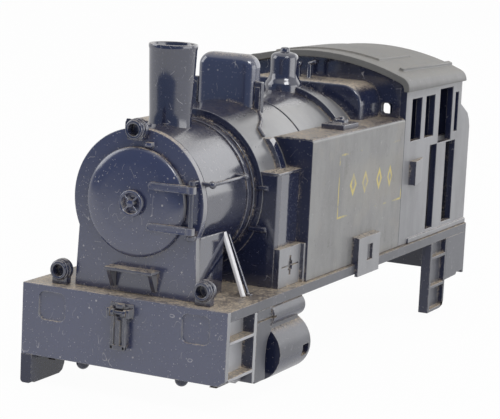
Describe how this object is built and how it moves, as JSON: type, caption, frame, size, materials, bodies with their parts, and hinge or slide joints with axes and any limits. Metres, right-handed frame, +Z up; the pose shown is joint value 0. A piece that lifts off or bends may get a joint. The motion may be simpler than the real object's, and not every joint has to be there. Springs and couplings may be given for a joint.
{
  "type": "model steam locomotive body",
  "caption": "Tank-engine body shell of a model steam locomotive: boiler, side tanks, cab and cylinders on a running plate, with an opening smokebox door and a hanging coupling link.",
  "frame": {"origin": "centre of the bounding box's footprint, at the level of the feet of the lowest footstep", "axes": "+Z up, +Y along the locomotive towards the cab and bunker, the smokebox front faces -Y, +X towards the side that carries the handrail"},
  "size_m": [0.0372, 0.097, 0.0511],
  "materials": {
    "boiler_plastic": "moulded in black plastic, semi-gloss, dusty and rubbed at the edges",
    "cab_plastic": "moulded in black plastic, semi-gloss, dusty and rubbed at the edges",
    "fitting_plastic": "moulded in black plastic, semi-gloss, dusty and rubbed at the edges",
    "frame_plastic": "moulded in black plastic, semi-gloss, dusty and rubbed at the edges",
    "front_plastic": "moulded in black plastic, semi-gloss, dusty and rubbed at the edges",
    "roof_plastic": "moulded in black plastic, semi-gloss, dusty and rubbed at the edges",
    "tank_plastic": "moulded in black plastic, semi-gloss, dusty and rubbed at the edges"
  },
  "bodies": {
    "shell": {"boiler_band": "boiler_plastic", "boiler_barrel": "boiler_plastic", "cab_front": "cab_plastic", "cab_panel_far": "cab_plastic", "cab_panel_near": "cab_plastic", "cab_rear": "cab_plastic", "cab_roof": "roof_plastic", "cab_side_far": "cab_plastic", "cab_side_near": "cab_plastic", "chassis_bosses": "frame_plastic", "chimney": "fitting_plastic", "coal_bunker": "cab_plastic", "coupling_hook": "fitting_plastic", "cylinder_far": "frame_plastic", "cylinder_near": "frame_plastic", "firebox_casing": "boiler_plastic", "frame_wall": "fitting_plastic", "front_beam": "frame_plastic", "front_lugs": "frame_plastic", "front_step_far": "frame_plastic", "front_step_near": "frame_plastic", "handrail": "fitting_plastic", "hinge_post": "front_plastic", "lamp_far": "fitting_plastic", "lamp_near": "fitting_plastic", "lamp_top": "fitting_plastic", "lower_step_box_far": "fitting_plastic", "lower_step_box_near": "fitting_plastic", "rear_beam": "frame_plastic", "rear_step_far": "frame_plastic", "rear_step_near": "frame_plastic", "running_plate": "frame_plastic", "safety_valve": "fitting_plastic", "sand_dome": "fitting_plastic", "sand_valve_far": "fitting_plastic", "sand_valve_near": "fitting_plastic", "side_tank_far": "tank_plastic", "side_tank_near": "tank_plastic", "smokebox_barrel": "boiler_plastic", "smokebox_front": "front_plastic", "smokebox_ring": "boiler_plastic", "smokebox_saddle": "fitting_plastic", "smokebox_stay_far": "fitting_plastic", "smokebox_stay_near": "fitting_plastic", "smokebox_step": "fitting_plastic", "steam_column_far": "fitting_plastic", "steam_column_near": "fitting_plastic", "tank_filler_far": "fitting_plastic", "tank_filler_near": "fitting_plastic", "upper_step_box_far": "fitting_plastic", "upper_step_box_near": "fitting_plastic", "valve_chest_far": "fitting_plastic", "valve_chest_near": "fitting_plastic", "whistle": "fitting_plastic"},
    "door": {"smokebox_door": "front_plastic", "hinge_straps": "front_plastic"},
    "handwheel": {"door_handwheel": "front_plastic"},
    "link": {"coupling_link": "fitting_plastic"}
  },
  "joints": [
    {"name": "smokebox_door_hinge", "type": "hinge", "parent": "shell", "child": "door", "pos_m": [0.0094, -0.045, 0.02875], "axis": [0, 0, 1], "range_deg": [0, 110]},
    {"name": "door_handwheel_turn", "type": "hinge", "parent": "door", "child": "handwheel", "pos_m": [0, -0.04575, 0.02875], "axis": [0, -1, 0], "range_deg": [0, 90]},
    {"name": "coupling_link_swing", "type": "hinge", "parent": "shell", "child": "link", "pos_m": [0, -0.0479, 0.0131], "axis": [-1, 0, 0], "range_deg": [0, 80]}
  ]
}
